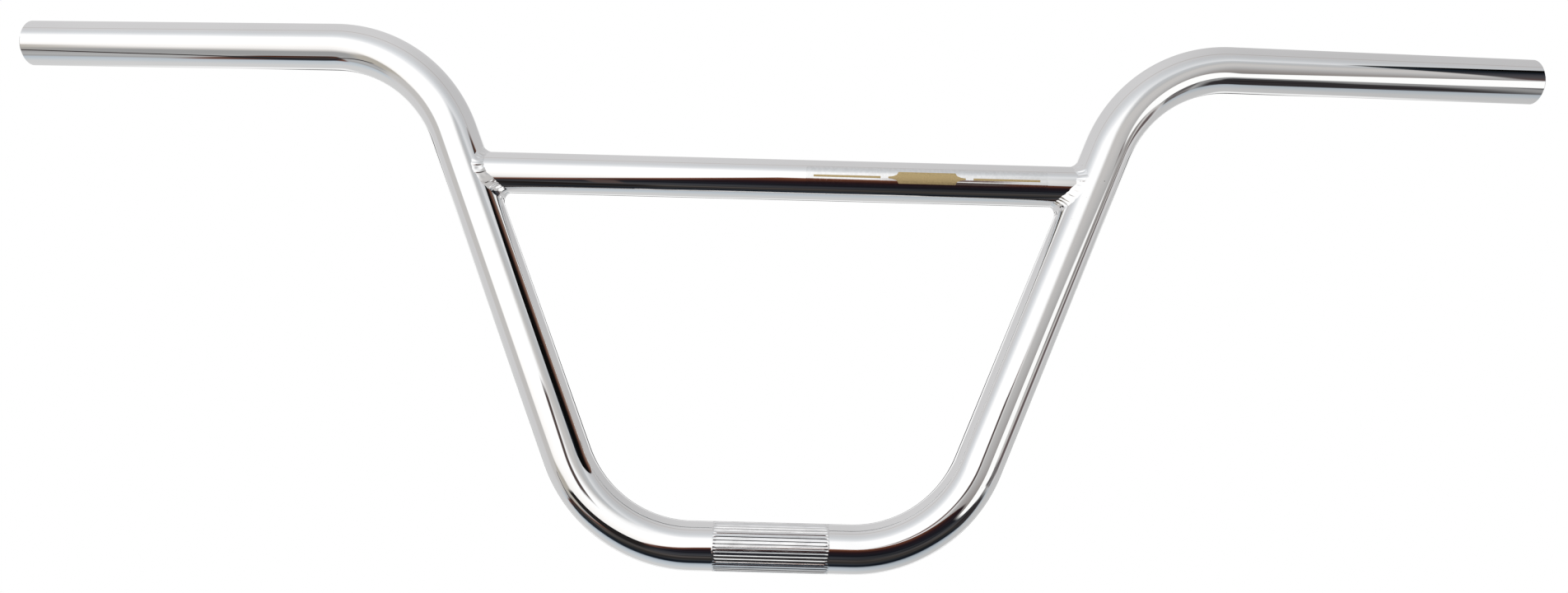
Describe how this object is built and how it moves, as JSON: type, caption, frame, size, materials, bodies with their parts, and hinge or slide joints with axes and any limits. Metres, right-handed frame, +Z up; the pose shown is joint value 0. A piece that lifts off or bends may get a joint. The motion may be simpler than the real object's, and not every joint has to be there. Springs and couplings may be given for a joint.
{
  "type": "bmx handlebar",
  "caption": "High-rise chromed steel BMX handlebar: a bent, knurled main tube with a welded crossbar and a plain label film.",
  "frame": {"origin": "centre of the stem clamp, on the tube's axis", "axes": "+X along the clamp towards the right-hand grip in the picture, +Z up along the plane of the legs, +Y back towards the rider"},
  "size_m": [0.7562, 0.0619, 0.2631],
  "materials": {
    "chromed_tube": "bright chrome plate on a polished steel tube",
    "chromed_weld": "chrome plate over a rippled weld bead",
    "label_film": "thin clear film with gold print"
  },
  "bodies": {
    "root": {"main_tube": "chromed_tube", "crossbar": "chromed_tube", "left_weld": "chromed_weld", "right_weld": "chromed_weld", "label_film": "label_film"}
  },
  "joints": []
}
